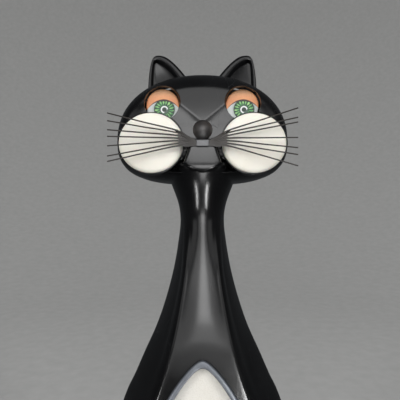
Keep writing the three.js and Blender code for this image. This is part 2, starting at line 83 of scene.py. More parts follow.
WHISKER = {"y": -51.05, "radius": 0.54, "root_x": 16, "tip_x": 58}
DIAL = {"z": -208, "half_width": 36.5, "half_height": 60, "power": 1.3, "blunt": 3}
DIAL_FRONT = -37.5
DIAL_POINTS = 160
PRINT = {"outer": 28.4, "hour_inner": 26.2, "minute_inner": 27, "number_reach": 21.5, "number_size": 6.2}
HOUR_HAND = {
    "length": 17, "width": 3.4, "hub": 4.4, "hole": 3.1, "back": -39.5, "front": -40.2, "angle": -60,
}
MINUTE_HAND = {
    "length": 25, "width": 2.6, "hub": 3.4, "hole": 1.8, "back": -41.2, "front": -41.9, "angle": 54,
}
HAND_TAIL = -7
TAIL = {"top": -261, "y": -26.1, "width": 9.5, "thickness": 6}

# ---- the studio, in metres ----
FLOOR = {"height": -0.43, "flat": 1.2, "curve": 2.6, "wall": 4.5}
CAMERA = (-0.0016, -0.294, -0.048)
AIM_LEVEL = -0.17
CARD_Y = -0.15


# ---- mesh helpers ----
def make_object(name, points, faces):
    mesh = bpy.data.meshes.new(name)
    mesh.from_pydata([Vector(p) * MM for p in points], [], faces)
    mesh.update()
    made = bpy.data.objects.new(name, mesh)
    bpy.context.scene.collection.objects.link(made)
    return made


def turn_outwards(obj):
    bm = bmesh.new()
    bm.from_mesh(obj.data)
    bmesh.ops.recalc_face_normals(bm, faces=bm.faces)
    if bm.calc_volume(signed=True) < 0:
        bmesh.ops.reverse_faces(bm, faces=bm.faces)
    bm.to_mesh(obj.data)
    bm.free()
    return obj


def loft(name, rings, ends=True):
    """A skin over rings of equal point count, with flat ends, or a closed loop of rings."""
    count = len(rings[0])
    points = [p for ring in rings for p in ring]
    faces = []
    last = len(rings) - 1
    for r in range(last if ends else last + 1):
        a = r * count
        b = ((r + 1) % len(rings)) * count
        for i in range(count):
            j = (i + 1) % count
            faces.append((a + i, a + j, b + j, b + i))
    if ends:
        faces.append(tuple(range(count - 1, -1, -1)))
        faces.append(tuple(last * count + i for i in range(count)))
    return turn_outwards(make_object(name, points, faces))


def lathe_y(name, profile, x, z, sides=64):
    """A solid turned about an axis along Y. The profile is (radius, y) from end to end."""
    rings = []
    for radius, y in profile:
        turns = [2 * math.pi * i / sides for i in range(sides)]
        rings.append([(x + radius * math.cos(a), y, z + radius * math.sin(a)) for a in turns])
    return loft(name, rings)


def box(name, low, high):
    corners = list(itertools.product(*zip(low, high)))
    faces = [(0, 1, 3, 2), (4, 6, 7, 5), (0, 4, 5, 1), (2, 3, 7, 6), (0, 2, 6, 4), (1, 5, 7, 3)]
    return turn_outwards(make_object(name, corners, faces))


def settle(obj):
    """Applies an object's modifiers to its mesh."""
    graph = bpy.context.evaluated_depsgraph_get()
    mesh = bpy.data.meshes.new_from_object(obj.evaluated_get(graph))
    old = obj.data
    obj.modifiers.clear()
    obj.data = mesh
    bpy.data.meshes.remove(old)
    return obj


def combine(obj, other, operation):
    modifier = obj.modifiers.new("combine", "BOOLEAN")
    modifier.operation = operation
    modifier.object = other
    modifier.solver = "MANIFOLD"
    settle(obj)
    bpy.data.objects.remove(other)
    return obj


def bevel(obj, width, segments=3, angle=40):
    modifier = obj.modifiers.new("bevel", "BEVEL")
    modifier.width = width * MM
    modifier.segments = segments
    modifier.limit_method = "ANGLE"
    modifier.angle_limit = math.radians(angle)
    return settle(obj)


def smooth(obj, angle=35):
    obj.data.shade_smooth()
    obj.data.set_sharp_from_angle(angle=math.radians(angle))
    return obj


def recentre(obj, x, y, z):
    """Moves an object's origin to a point without moving its surface."""
    centre = Vector((x, y, z)) * MM
    for vertex in obj.data.vertices:
        vertex.co -= centre
    obj.location = centre
    return obj


def join(name, objects):
    bm = bmesh.new()
    for obj in objects:
        bm.from_mesh(obj.data)
        bpy.data.objects.remove(obj)
    mesh = bpy.data.meshes.new(name)
    bm.to_mesh(mesh)
    bm.free()
    made = bpy.data.objects.new(name, mesh)
    bpy.context.scene.collection.objects.link(made)
    return made


# ---- curves and outlines ----
def smoothstep(value, low, high):
    t = min(1.0, max(0.0, (value - low) / (high - low)))
    return t * t * (3 - 2 * t)


def spline(points, count):
    """Catmull-Rom curve through the points, evenly spread over its length."""
    pts = np.array(points, float)
    padded = np.vstack([2 * pts[0] - pts[1], pts, 2 * pts[-1] - pts[-2]])
    dense = []
    for i in range(1, len(padded) - 2):
        p0, p1, p2, p3 = padded[i - 1:i + 3]
        for t in np.linspace(0, 1, 24, endpoint=False):
            turn = -p0 + 3 * p1 - 3 * p2 + p3
            bend = 2 * p0 - 5 * p1 + 4 * p2 - p3
            dense.append(0.5 * (2 * p1 + (p2 - p0) * t + bend * t * t + turn * t ** 3))
    dense.append(pts[-1])
    dense = np.array(dense)
    length = np.concatenate([[0], np.cumsum(np.linalg.norm(np.diff(dense, axis=0), axis=1))])
    wanted = np.linspace(0, length[-1], count)
    columns = [np.interp(wanted, length, dense[:, k]) for k in range(dense.shape[1])]
    return np.stack(columns, axis=1)


def quadratic(start, control, end, steps):
    points = []
    for i in range(steps):
        t = i / steps
        points.append(tuple(
            (1 - t) ** 2 * a + 2 * t * (1 - t) * b + t * t * c for a, b, c in zip(start, control, end)
        ))
    return points


def superellipse(half_width, up, down, power_up, power_down, centre_z, count):
    points = []
    for i in range(count):
        angle = 2 * math.pi * i / count
        c = math.cos(angle)
        s = math.sin(angle)
        power = power_up if s >= 0 else power_down
        height = up if s >= 0 else down
        x = half_width * math.copysign(abs(c) ** (2 / power), c)
        z = centre_z + height * math.copysign(abs(s) ** (2 / power), s)
        points.append((x, z))
    return points


# ---- front shell ----
def head_outline(inset, count):
    up = HEAD["top"] - HEAD["waist"] - inset
    down = HEAD["waist"] - HEAD["bottom"] - inset
    width = HEAD["half_width"] - inset
    return superellipse(width, up, down, HEAD_POWER_UP, HEAD_POWER_DOWN, HEAD["waist"], count)


# how far the edge of the head has drawn in, against how far forward it has come
HEAD_EDGE = [(0, 0), (0.4, 1.3), (0.7, 4.3), (0.88, 8.3), (0.955, 11.8), (0.99, 15.5), (1, 22)]


def brow_fall(x, z):
    """How far the face falls back beside the bridge that runs down between the eyes."""
    bridge = BROW["bridge_slope"] * max(0.0, z - BROW["bridge_foot"])
    outside = max(0.0, abs(x) - bridge)
    low = smoothstep(z, 22, 12) * smoothstep(z, -16, -8)
    brow = BROW["depth"] * low * (1 - math.exp(-outside / BROW["spread"]))
    # the face is deeper on both sides of the snout, and falls away towards the chin
    beside = SNOUT_SIDES * smoothstep(abs(x), 6.5, 10) * smoothstep(-z, 10, 15)
    below = CHIN_SIDES * smoothstep(abs(x), 9, 14) * smoothstep(-z, 17, 31)
    return brow + beside + below


def face_point(x, y, z, share):
    return (x, y + share * brow_fall(x, z), z)


def head_solid(name, inset, back, count, steps):
    rings = [[(x, back, z) for x, z in head_outline(inset, count)]]
    rise = HEAD["depth"] - HEAD["rim"] - inset
    edge = spline(HEAD_EDGE, steps)
    for t, shrink in edge:
        y = -HEAD["rim"] - t * rise
        outline = head_outline(shrink + inset, count)
        share = smoothstep(t, 0.8, 0.98)
        rings.append([face_point(x, y, z, share) for x, z in outline])
    inner = head_outline(HEAD_EDGE[-1][1] + inset, count)
    for scale in np.linspace(0.94, 0.03, 26):
        front = -HEAD["depth"] + inset
        ring = [(x * scale, front, HEAD["waist"] + (z - HEAD["waist"]) * scale) for x, z in inner]
        rings.append([face_point(x, y, z, 1) for x, y, z in ring])
    return loft(name, rings)


BODY_SIDE = [
    (27, -24), (21.5, -37.5), (16.8, -50.8), (15.5, -62.7), (16.9, -76.7), (20.1, -95.6),
    (25.5, -116.6), (32.9, -138.3), (42, -158.6), (49, -174.7), (55.3, -188), (61, -208),
    (63, -228), (61, -248), (54.5, -266), (44, -279), (31, -287), (20, -290),
]


def body_depth(z):
    belly = smoothstep(-z, 60, 140)
    foot = max(0.0, (-z - 272) / 18)
    throat = 1 - smoothstep(-z, 26, 62)
    return BODY["neck_depth"] + 10 * belly - 6 * foot * foot + 14 * throat


def body_section(half_width, z, inset, back):
    """Half of a level cut through the body, from the middle of the front to the rim."""
    depth = body_depth(z) - inset
    rim = BODY["rim"]
    w = half_width - inset
    flat = w * (0.42 + 0.16 * smoothstep(-z, 40, 90) + 0.1 * smoothstep(-z, 150, 210))
    crown = 0
    if inset == 0:
        crown = (3 - 1.7 * smoothstep(-z, 40, 90)) * (1 - smoothstep(-z, 120, 146))
    points = []
    for i in range(12):
        share = i / 12
        points.append(((flat - 2) * share, -depth + crown * share ** 2))
    edge = (flat - 2, -depth + crown)
    shoulder = (flat + 0.3 * (w - flat), -depth + crown + 0.26 * (depth - rim))
    flank = (flat + 0.72 * (w - flat), -depth + 0.6 * (depth - rim))
    points += quadratic(edge, (flat + 1.6, -depth + crown), shoulder, 12)
    points += quadratic(shoulder, flank, (w, -rim), 10)
    points.append((w, -rim))
    # towards the head the section turns into a round column
    column = 1 - smoothstep(-z, 48, 100)
    rounded = []
    for i, (x, y) in enumerate(points):
        angle = math.pi / 2 * i / (len(points) - 1)
        round_x = w * math.sin(angle) ** 0.9
        round_y = -rim - (depth - rim) * math.cos(angle) ** 0.9
        rounded.append((x + column * (round_x - x), y + column * (round_y - y)))
    return rounded + [(w, back)]


def body_solid(name, inset, back, steps):
    rings = []
    for w, z in spline(BODY_SIDE, steps):
        z = max(z, BODY["bottom"] + inset)
        half = body_section(w, z, inset, back)
        ring = [(x, y, z) for x, y in half]
        ring += [(-x, y, z) for x, y in reversed(half[1:])]
        rings.append(ring)
    return loft(name, rings)


def ear_outline(side):
    outer, tip_x, tip_z, inner = EAR["outer_x"], EAR["tip_x"], EAR["tip_z"], EAR["inner_x"]
    points = quadratic((outer, 18), (outer + 0.2, 40), (tip_x + 4.6, tip_z - 4), 20)
    points += quadratic((tip_x + 4.6, tip_z - 4), (tip_x + 3.2, tip_z), (tip_x, tip_z), 8)
    points += quadratic((tip_x, tip_z), (tip_x - 3.4, tip_z), (tip_x - 6, tip_z - 1.4), 8)
    points += quadratic((tip_x - 6, tip_z - 1.4), (inner + 10, 48), (inner, 34), 20)
    points += [(inner, 34), (inner, 18)]
    return [(side * x, z) for x, z in points]


def ear_panel(side):
    """The pointed panel inside the ear, with as many points as its outline."""
    points = quadratic((34.4, 18), (34.6, 38), (33.6, 46.4), 20)
    points += quadratic((33.6, 46.4), (33.4, 48), (32.4, 48.2), 8)
    points += quadratic((32.4, 48.2), (31.6, 48.2), (30.8, 47.6), 8)
    points += quadratic((30.8, 47.6), (23.6, 44.4), (18, 35), 20)
    points += [(18, 35), (17, 18)]
    return [(side * x, z) for x, z in points]


def ear_solid(side):
    """A raised round rim around a panel set a little way in."""
    profile = [
        (0, EAR["back"]), (0, -12.4), (0.03, -13.5), (0.1, -14.4), (0.22, -14.9), (0.4, EAR["front"]),
        (0.58, -14.85), (0.7, -14.4), (0.82, -13.5), (0.95, -12.5), (1, -12.3),
    ]
    outline = ear_outline(side)
    panel = ear_panel(side)
    rings = []
    for share, y in profile:
        ring = []
        for (x0, z0), (x1, z1) in zip(outline, panel):
            ring.append((x0 + share * (x1 - x0), y, z0 + share * (z1 - z0)))
        rings.append(ring)
    return loft("ear", rings)


def ear_hollow(side):
    shrunk = []
    for (x0, z0), (x1, z1) in zip(ear_outline(side), ear_panel(side)):
        shrunk.append((x0 + 0.6 * (x1 - x0), z0 + 0.6 * (z1 - z0)))
    return loft("pocket", [[(x, y, z) for x, z in shrunk] for y in (1, -10.3)])


def oval(grow, y, side):
    turns = [2 * math.pi * i / ROUND_SIDES for i in range(ROUND_SIDES)]
    width = CHEEK["half_width"] + grow
    height = CHEEK["half_height"] + grow
    centre = side * CHEEK["x"]
    return [(centre + width * math.cos(a), y, CHEEK["z"] + height * math.sin(a)) for a in turns]


def muzzle_outline(inset):
    top = (8.4 - inset, MUZZLE["top"])
    jowl = (12.2 - inset, -25.5 + inset * 0.5)
    chin = (0, MUZZLE["bottom"] + inset)
    right = quadratic(top, (9.6 - inset, -19), jowl, 12)
    right += quadratic(jowl, (7, chin[1]), chin, 12)
    left = [(-x, z) for x, z in reversed(right)]
    return right + [chin] + left


def muzzle_solid():
    """The snout below the whiskers: a flat top that rolls under to the chin."""
    middle, root, front = MUZZLE["middle"], MUZZLE["root"], MUZZLE["front"]
    layers = [(0, 1, root), (0, 1, -47.4), (0.3, 1, -48.6), (0.9, 1, -49.4), (1.7, 1, front)]
    layers += [(1.7, scale, front - 0.1) for scale in (0.9, 0.75, 0.6, 0.45, 0.3, 0.15, 0.04)]
    rings = []
    for inset, scale, y in layers:
        ring = []
        for x, z in muzzle_outline(inset):
            z = middle + (z - middle) * scale
            under = max(0.0, MUZZLE["roll"] - z)
            ring.append((x * scale, min(root + 1, y + 0.07 * under ** 2), z))
        rings.append(ring)
    return loft("muzzle", rings)


def eye_cut(side):
    radius = EYE["opening"]
    flare = [(radius + 2.2, -47), (radius + 0.7, -44.6), (radius + 0.25, -43.9)]
    profile = flare + [(radius, -42.9), (radius, -31)]
    return lathe_y("eye_cut", profile, side * EYE["x"], EYE["z"], ROUND_SIDES)


def eye_pocket(side):
    """The room behind an eye opening that the disc swings in."""
    reach = EYE["disc"] + 0.4
    outline = []
    for i in range(64):
        angle = 2 * math.pi * i / 64
        x = EYE["travel"] * math.copysign(1, math.cos(angle)) + reach * math.cos(angle)
        outline.append((side * EYE["x"] + x, EYE["z"] + reach * math.sin(angle)))
    return loft("pocket", [[(x, y, z) for x, z in outline] for y in (EYE["front"] - 0.5, -20)])


def dial_outline(inset):
    width = DIAL["half_width"] - inset
    height = DIAL["half_height"] - inset
    power = DIAL["power"]
    points = []
    for x, z in superellipse(width, height, height, power, power, 0, DIAL_POINTS):
        # the points at the top and bottom are rounded off
        share = math.hypot(x, DIAL["blunt"] * (1 - abs(x) / width)) / width
        reach = height * max(0.0, 1 - share ** power) ** (1 / power)
        points.append((x, DIAL["z"] + math.copysign(reach, z)))
    return points


def dial_ring(inset, y):
    return [(x, y, z) for x, z in dial_outline(inset)]


def dial_cut():
    return loft("dial_cut", [dial_ring(1.5, -41), dial_ring(1.5, -36)])


def build_shell():
    shell = head_solid("cat_shell", 0, 0, 224, 34)
    combine(shell, body_solid("body", 0, 0, 130), "UNION")
    for side in (-1, 1):
        combine(shell, ear_solid(side), "UNION")
        steps = [(0.9, -30), (0.9, -43.9), (0.75, -44.35), (0.5, CHEEK_RIM), (0.25, CHEEK_RIM)]
        boss = loft("boss", [oval(grow, y, side) for grow, y in steps])
        combine(shell, boss, "UNION")
    combine(shell, muzzle_solid(), "UNION")
    combine(shell, head_solid("hollow", WALL, 1, 96, 16), "DIFFERENCE")
    combine(shell, body_solid("hollow", WALL, 1, 60), "DIFFERENCE")
    for side in (-1, 1):
        combine(shell, ear_hollow(side), "DIFFERENCE")
        combine(shell, eye_pocket(side), "DIFFERENCE")
        combine(shell, eye_cut(side), "DIFFERENCE")
    combine(shell, dial_cut(), "DIFFERENCE")
    for side in (-1, 1):
        combine(shell, loft("floor", [oval(0.8, y, side) for y in (-43.2, -40.4)]), "UNION")
        seat = loft("seat", [oval(0.3, y, side) for y in (-52, -43)])
        combine(shell, seat, "DIFFERENCE")
    combine(shell, box("slot", (-13.5, -32.5, -292), (13.5, -19.5, -286)), "DIFFERENCE")
    combine(shell, box("notch", (-39, -6, -292), (-33, 1, -274)), "DIFFERENCE")
    smooth(shell, 38)
    return shell


# ---- face ----
def build_cheek(side, name):
    rings = [oval(0, CHEEK["back"], side), oval(0, -44.1, side), oval(-0.35, -44.75, side)]
    for share in np.linspace(0.08, 0.97, 22):
        rise = math.sqrt(1 - (1 - share) ** 2)
        shrink = share * (CHEEK["half_height"] - 0.6)
        rings.append(oval(-0.35 - shrink, -44.75 - CHEEK_RISE * rise, side))
    cheek = loft(name, rings)
    return smooth(recentre(cheek, side * CHEEK["x"], -44, CHEEK["z"]), 50)


def build_eye(side, name):
    radius = EYE["disc"]
    back = EYE["front"] + EYE["thickness"]
    front = EYE["front"]
    profile = [(radius, back), (radius, front + 0.35), (radius - 0.3, front + 0.05)]
    for share in np.linspace(0.94, 0.02, 20):
        profile.append((radius * share, front + 0.02))
    eye = lathe_y(name, profile, side * EYE["x"], EYE["z"], ROUND_SIDES)
    return smooth(recentre(eye, side * EYE["x"], front, EYE["z"]), 40)


def build_nose():
    profile = []
    for i in range(1, 40):
        angle = math.pi * i / 40
        y = NOSE["y"] + NOSE["radius"] * math.cos(angle)
        profile.append((NOSE["radius"] * math.sin(angle), min(y, -45.4)))
    nose = lathe_y("nose_ball", profile, 0, NOSE["z"], 56)
    return smooth(recentre(nose, 0, NOSE["y"], NOSE["z"]), 60)


def bristle(side, root, tip):
    """One round bristle, tapering from the web to its tip."""
    inner_z = -13.5 + 0.24 * (root + 10.4)
    path = [
        (side * 3.2, WHISKER["y"], inner_z),
        (side * 9, WHISKER["y"], inner_z + 0.42 * (root - inner_z)),
        (side * WHISKER["root_x"], WHISKER["y"], root),
        (side * 36, WHISKER["y"] - 0.05, root + 0.47 * (tip - root)),
        (side * WHISKER["tip_x"], WHISKER["y"], tip),
    ]
    centres = spline(path, 26)
    rings = []
    for i, centre in enumerate(centres):
        share = i / (len(centres) - 1)
        along = centres[min(i + 1, len(centres) - 1)] - centres[max(i - 1, 0)]
        across = np.array([-along[2], 0, along[0]])
        across = across / np.linalg.norm(across)
        radius = WHISKER["radius"] * (1 - 0.28 * share)
        ring = []
        for k in range(10):
            angle = 2 * math.pi * k / 10
            spoke = across * math.cos(angle) + np.array([0, math.sin(angle), 0])
            ring.append(tuple(centre + radius * spoke))
        rings.append(ring)
    return loft("bristle", rings)


WHISKER_ROOTS = [-5.6, -7, -8.7, -10.4, -12, -13.7, -15.2]
LEFT_TIPS = [4.9, 0.2, -5.3, -9.3, -15.1, -21.3, -24.6]
RIGHT_TIPS = [8, 2.3, -0.6, -10, -16.2, -20.4, -27.2]


def whisker_web(side):
    """The thin sheet that the bristles grow out of, notched between them."""
    outline = [(0.5, -12), (4, -11.9), (9, -9.7)]
    for i, root in enumerate(WHISKER_ROOTS):
        reach = WHISKER["root_x"] + 1.6
        outline.append((reach, root + 0.2))
        if i + 1 < len(WHISKER_ROOTS):
            outline.append((WHISKER["root_x"] - 1.8, (root + WHISKER_ROOTS[i + 1]) / 2))
    outline += [(9, -15.6), (4, -15.1), (0.5, -15)]
    rings = [[(side * x, y, z) for x, z in outline] for y in (-50.7, -51.25)]
    return loft("web", rings)


def build_whiskers(side, tips, name):
    pieces = [whisker_web(side)]
    for root, tip in zip(WHISKER_ROOTS, tips):
        pieces.append(bristle(side, root, tip))
    return smooth(join(name, pieces), 50)


def build_clip():
    clip = box("clip_plate", (-3.7, -53, -15.4), (3.7, -51.75, -11.6))
    bevel(clip, 0.3, 2)
    recess = box("recess", (-3, -53.4, -14.7), (3, -52.75, -12.3))
    combine(clip, recess, "DIFFERENCE")
    bars = box("bar", (-2.2, -52.95, -13.9), (2.2, -52.6, -13.1))
    combine(clip, bars, "UNION")
    return smooth(clip, 30)


# ---- dial, hands and tail ----
def build_bezel():
    front = -BODY["depth"]
    profile = [
        (0, front - 0.3), (0, front - 1.5), (0.2, front - 1.95), (0.55, front - 2.2), (1.0, front - 2.3),
        (2.4, front - 2.3), (3.9, front - 2.25), (4.3, front - 2.05), (4.6, front - 1.5),
        (4.9, front + 0.4), (5, front + 2.1), (2, front + 2.1), (2, front - 0.3),
    ]
    return smooth(loft("bezel_ring", [dial_ring(inset, y) for inset, y in profile], ends=False), 50)


def build_dial():
    rings = [dial_ring(-0.6, DIAL_FRONT + 1), dial_ring(-0.6, DIAL_FRONT + 0.1), dial_ring(-0.4, DIAL_FRONT)]
    dial = loft("dial_face", rings)
    hole = lathe_y("hole", [(3.3, -40), (3.3, -35)], 0, DIAL["z"], 48)
    combine(dial, hole, "DIFFERENCE")
    return smooth(dial, 40)


def tick(angle, inner, outer, width):
    """A printed bar on the dial, pointing away from its centre."""
    out = (math.sin(angle), math.cos(angle))
    side = (math.cos(angle), -math.sin(angle))
    corners = []
    for reach, shift in ((inner, -1), (outer, -1), (outer, 1), (inner, 1)):
        x = reach * out[0] + shift * width / 2 * side[0]
        z = DIAL["z"] + reach * out[1] + shift * width / 2 * side[1]
        corners.append((x, z))
    rings = [[(x, y, z) for x, z in corners] for y in (DIAL_FRONT + 0.02, DIAL_FRONT - 0.06)]
    return loft("tick", rings)


def numeral(hour):
    curve = bpy.data.curves.new("numeral", "FONT")
    curve.body = str(hour)
    curve.size = PRINT["number_size"] * MM
    curve.align_x = "CENTER"
    curve.align_y = "CENTER"
    curve.extrude = 0.04 * MM
    curve.resolution_u = 4
    text = bpy.data.objects.new("numeral", curve)
    bpy.context.scene.collection.objects.link(text)
    graph = bpy.context.evaluated_depsgraph_get()
    mesh = bpy.data.meshes.new_from_object(text.evaluated_get(graph))
    bpy.data.objects.remove(text)
    angle = math.pi * hour / 6
    reach = PRINT["number_reach"]
    for vertex in mesh.vertices:
        x, up, depth = vertex.co
        vertex.co = Vector((
            x + reach * math.sin(angle) * MM,
            (DIAL_FRONT - 0.02) * MM - depth,
            up + (DIAL["z"] + reach * math.cos(angle)) * MM,
        ))
    made = bpy.data.objects.new("numeral", mesh)
    bpy.context.scene.collection.objects.link(made)
    return turn_outwards(made)


def build_print():
    pieces = []
    for minute in range(60):
        on_hour = minute % 5 == 0
        inner = PRINT["hour_inner"] if on_hour else PRINT["minute_inner"]
        width = 0.8 if on_hour else 0.35
        pieces.append(tick(math.pi * minute / 30, inner, PRINT["outer"], width))
    for hour in range(1, 13):
        pieces.append(numeral(hour))
    return join("dial_print", pieces)


def build_hand(name, size):
    """A flat dagger hand on a round hub."""
    width, length = size["width"], size["length"]
    outline = [
        (-width * 0.3, HAND_TAIL), (width * 0.3, HAND_TAIL), (width / 2, 0), (width / 2, length * 0.6),
        (0.3, length), (-0.3, length), (-width / 2, length * 0.6), (-width / 2, 0),
    ]
    turn = math.radians(size["angle"])
    ring = []
    for x, z in outline:
        across = x * math.cos(turn) + z * math.sin(turn)
        up = z * math.cos(turn) - x * math.sin(turn)
        ring.append((across, DIAL["z"] + up))
    front, back = size["front"], size["back"]
    blade = loft(name, [[(x, y, z) for x, z in ring] for y in (back, front)])
    hub = [(size["hub"], front), (size["hub"], back)]
    hole = [(size["hole"], front - 1), (size["hole"], back + 1)]
    combine(blade, lathe_y("hub", hub, 0, DIAL["z"], 48), "UNION")
    combine(blade, lathe_y("hole", hole, 0, DIAL["z"], 48), "DIFFERENCE")
    bevel(blade, 0.12, 2, 50)
    return smooth(blade, 30)


def build_tail():
    path = [
        (0, 0, TAIL["top"]), (0, 0, -282), (-0.5, 0, -300), (-5, 0, -320), (-7, 0, -340), (-1.5, 0, -359),
        (9, 0, -371), (17, 0, -378), (21.5, 0, -387),
    ]
    centres = spline(path, 90)
    rings = []
    for i, centre in enumerate(centres):
        share = i / (len(centres) - 1)
        along = centres[min(i + 1, len(centres) - 1)] - centres[max(i - 1, 0)]
        across = np.array([-along[2], 0, along[0]])
        across = across / np.linalg.norm(across)
        tip = math.sqrt(min(1.0, 0.02 + 22 * (1 - share)))
        half_width = TAIL["width"] / 2 * (1 - 0.25 * share) * tip
        half_depth = TAIL["thickness"] / 2 * tip
        ring = []
        for k in range(28):
            angle = 2 * math.pi * k / 28
            c = math.copysign(abs(math.cos(angle)) ** 0.75, math.cos(angle))
            s = math.copysign(abs(math.sin(angle)) ** 0.75, math.sin(angle))
            point = centre + across * half_width * c
            ring.append((point[0], TAIL["y"] + half_depth * s, point[2]))
        rings.append(ring)
    return smooth(loft("tail_curl", rings), 50)


# ---- shader helpers ----
class Graph:
    """Builds a node material: each method adds a node and returns the socket it makes."""

    def __init__(self, name):
        self.material = bpy.data.materials.new(name)
        self.material.use_nodes = True
        self.tree = self.material.node_tree
        self.shader = self.tree.nodes["Principled BSDF"]
        self.coords = self.tree.nodes.new("ShaderNodeTexCoord").outputs["Object"]

    def feed(self, socket, value):
        if isinstance(value, bpy.types.NodeSocket):
            self.tree.links.new(value, socket)
        else:
            socket.default_value = value

    def math(self, operation, *values, clamp=False):
        node = self.tree.nodes.new("ShaderNodeMath")
        node.operation = operation
        node.use_clamp = clamp
        for socket, value in zip(node.inputs, values):
            self.feed(socket, value)
        return node.outputs[0]

    def stretch(self, scale):
        node = self.tree.nodes.new("ShaderNodeMapping")
        self.feed(node.inputs["Vector"], self.coords)
        node.inputs["Scale"].default_value = scale
        return node.outputs[0]

    def noise(self, scale, detail=4, vector=None):
        node = self.tree.nodes.new("ShaderNodeTexNoise")
        self.feed(node.inputs["Vector"], vector or self.coords)
        node.inputs["Scale"].default_value = scale
        node.inputs["Detail"].default_value = detail
        return node.outputs["Fac"]

    def cells(self, scale, vector=None, feature="F1"):
        node = self.tree.nodes.new("ShaderNodeTexVoronoi")
        node.feature = feature
        self.feed(node.inputs["Vector"], vector or self.coords)
        node.inputs["Scale"].default_value = scale
        return node.outputs["Distance"]

    def ramp(self, value, low, high, start=0.0, end=1.0):
        node = self.tree.nodes.new("ShaderNodeMapRange")
        self.feed(node.inputs["Value"], value)
        node.inputs["From Min"].default_value = low
        node.inputs["From Max"].default_value = high
        node.inputs["To Min"].default_value = start
        node.inputs["To Max"].default_value = end
        return node.outputs[0]

    def mix(self, share, first, second):
        node = self.tree.nodes.new("ShaderNodeMix")
        node.data_type = "RGBA"
        self.feed(node.inputs[0], share)
        self.feed(node.inputs[6], first)
        self.feed(node.inputs[7], second)
        return node.outputs[2]

    def bump(self, height, strength, distance, under=None):
        node = self.tree.nodes.new("ShaderNodeBump")
        self.feed(node.inputs["Height"], height)
        node.inputs["Strength"].default_value = strength
        node.inputs["Distance"].default_value = distance
        if under:
            self.tree.links.new(under, node.inputs["Normal"])
        return node.outputs[0]

    def split(self):
        node = self.tree.nodes.new("ShaderNodeSeparateXYZ")
        self.tree.links.new(self.coords, node.inputs[0])
        return node.outputs

    def finish(self, colour, roughness, normal=None, **constants):
        self.feed(self.shader.inputs["Base Color"], colour)
        self.feed(self.shader.inputs["Roughness"], roughness)
        if normal:
            self.feed(self.shader.inputs["Normal"], normal)
        for name, value in constants.items():
            self.shader.inputs[name.replace("_", " ")].default_value = value
        return self.material


def rgb(red, green, blue):
    """A screen colour, 0 to 255, as the linear colour that shaders take."""
    linear = []
    for value in (red, green, blue):
        v = value / 255
        linear.append(v / 12.92 if v <= 0.04045 else ((v + 0.055) / 1.055) ** 2.4)
    return (*linear, 1.0)


# ---- materials ----
def gloss_black():
    """Polished black moulding with smudges, specks of dust and hairline scratches."""
    g = Graph("gloss_black")
    smudge = g.noise(28, 5)
    streak = g.noise(60, 3, g.stretch((1.0, 1.0, 9.0)))
    line = g.cells(42, g.stretch((3.2, 3.2, 0.5)), "DISTANCE_TO_EDGE")
    patch = g.ramp(g.noise(22, 2), 0.52, 0.66)
    scratch = g.math("MULTIPLY", g.ramp(line, 0.006, 0.0), patch, clamp=True)
    dusty = g.ramp(g.noise(40, 3), 0.5, 0.7)
    dust = g.math("MULTIPLY", g.ramp(g.cells(520), 0.11, 0.06), dusty, clamp=True)
    colour = g.mix(g.ramp(smudge, 0.35, 0.75), rgb(9, 9, 10), rgb(17, 17, 18))
    colour = g.mix(g.math("MULTIPLY", dust, 0.35), colour, rgb(120, 118, 112))
    colour = g.mix(g.math("MULTIPLY", scratch, 0.3), colour, rgb(90, 90, 92))
    rough = g.math("ADD", g.ramp(smudge, 0.3, 0.75, 0.14, 0.24), g.math("MULTIPLY", streak, 0.05))
    rough = g.math("ADD", rough, g.math("MULTIPLY", scratch, 0.25))
    wave = g.bump(g.noise(55, 2), 0.05, 0.001)
    normal = g.bump(scratch, 0.25, 0.0002, wave)
    return g.finish(colour, rough, normal, Specular_IOR_Level=0.36)


def plain(name, colour, worn, roughness, grain, depth, metallic=0.0, shine=0.5):
    """A surface with a fine grain, uneven colour and a patchy sheen."""
    g = Graph(name)
    broad = g.noise(35, 4)
    fine = g.noise(grain, 5)
    wear = g.ramp(g.math("ADD", broad, g.math("MULTIPLY", fine, 0.35)), 0.45, 0.95)
    mixed = g.mix(wear, colour, worn)
    rough = g.ramp(broad, 0.3, 0.75, roughness - 0.06, roughness + 0.1)
    normal = g.bump(fine, 0.3, depth)
    return g.finish(mixed, rough, normal, Metallic=metallic, Specular_IOR_Level=shine)


def cream_plastic():
    g = Graph("cream_plastic")
    broad = g.noise(30, 4)
    colour = g.mix(g.ramp(broad, 0.3, 0.75), rgb(238, 235, 226), rgb(224, 219, 205))
    area = g.ramp(g.noise(70, 2), 0.55, 0.7)
    speck = g.math("MULTIPLY", g.ramp(g.cells(330), 0.09, 0.05), area, clamp=True)
    colour = g.mix(g.math("MULTIPLY", speck, 0.5), colour, rgb(120, 110, 95))
    rough = g.ramp(g.noise(90, 4), 0.3, 0.7, 0.34, 0.5)
    normal = g.bump(g.noise(240, 3), 0.06, 0.0004)
    return g.finish(colour, rough, normal, Subsurface_Weight=0.08, Subsurface_Scale=0.003)


# the printed eye, in millimetres from the middle of the disc
LID = {"x": 0.6, "z": -8.6, "radius": 12.0}
IRIS = {"x": 1.1, "z": -2.6, "radius": 6.7, "petals": 17.0, "short_petals": 13.0}
PUPIL_RADIUS, GLINT_RADIUS = 1.5, 1.95


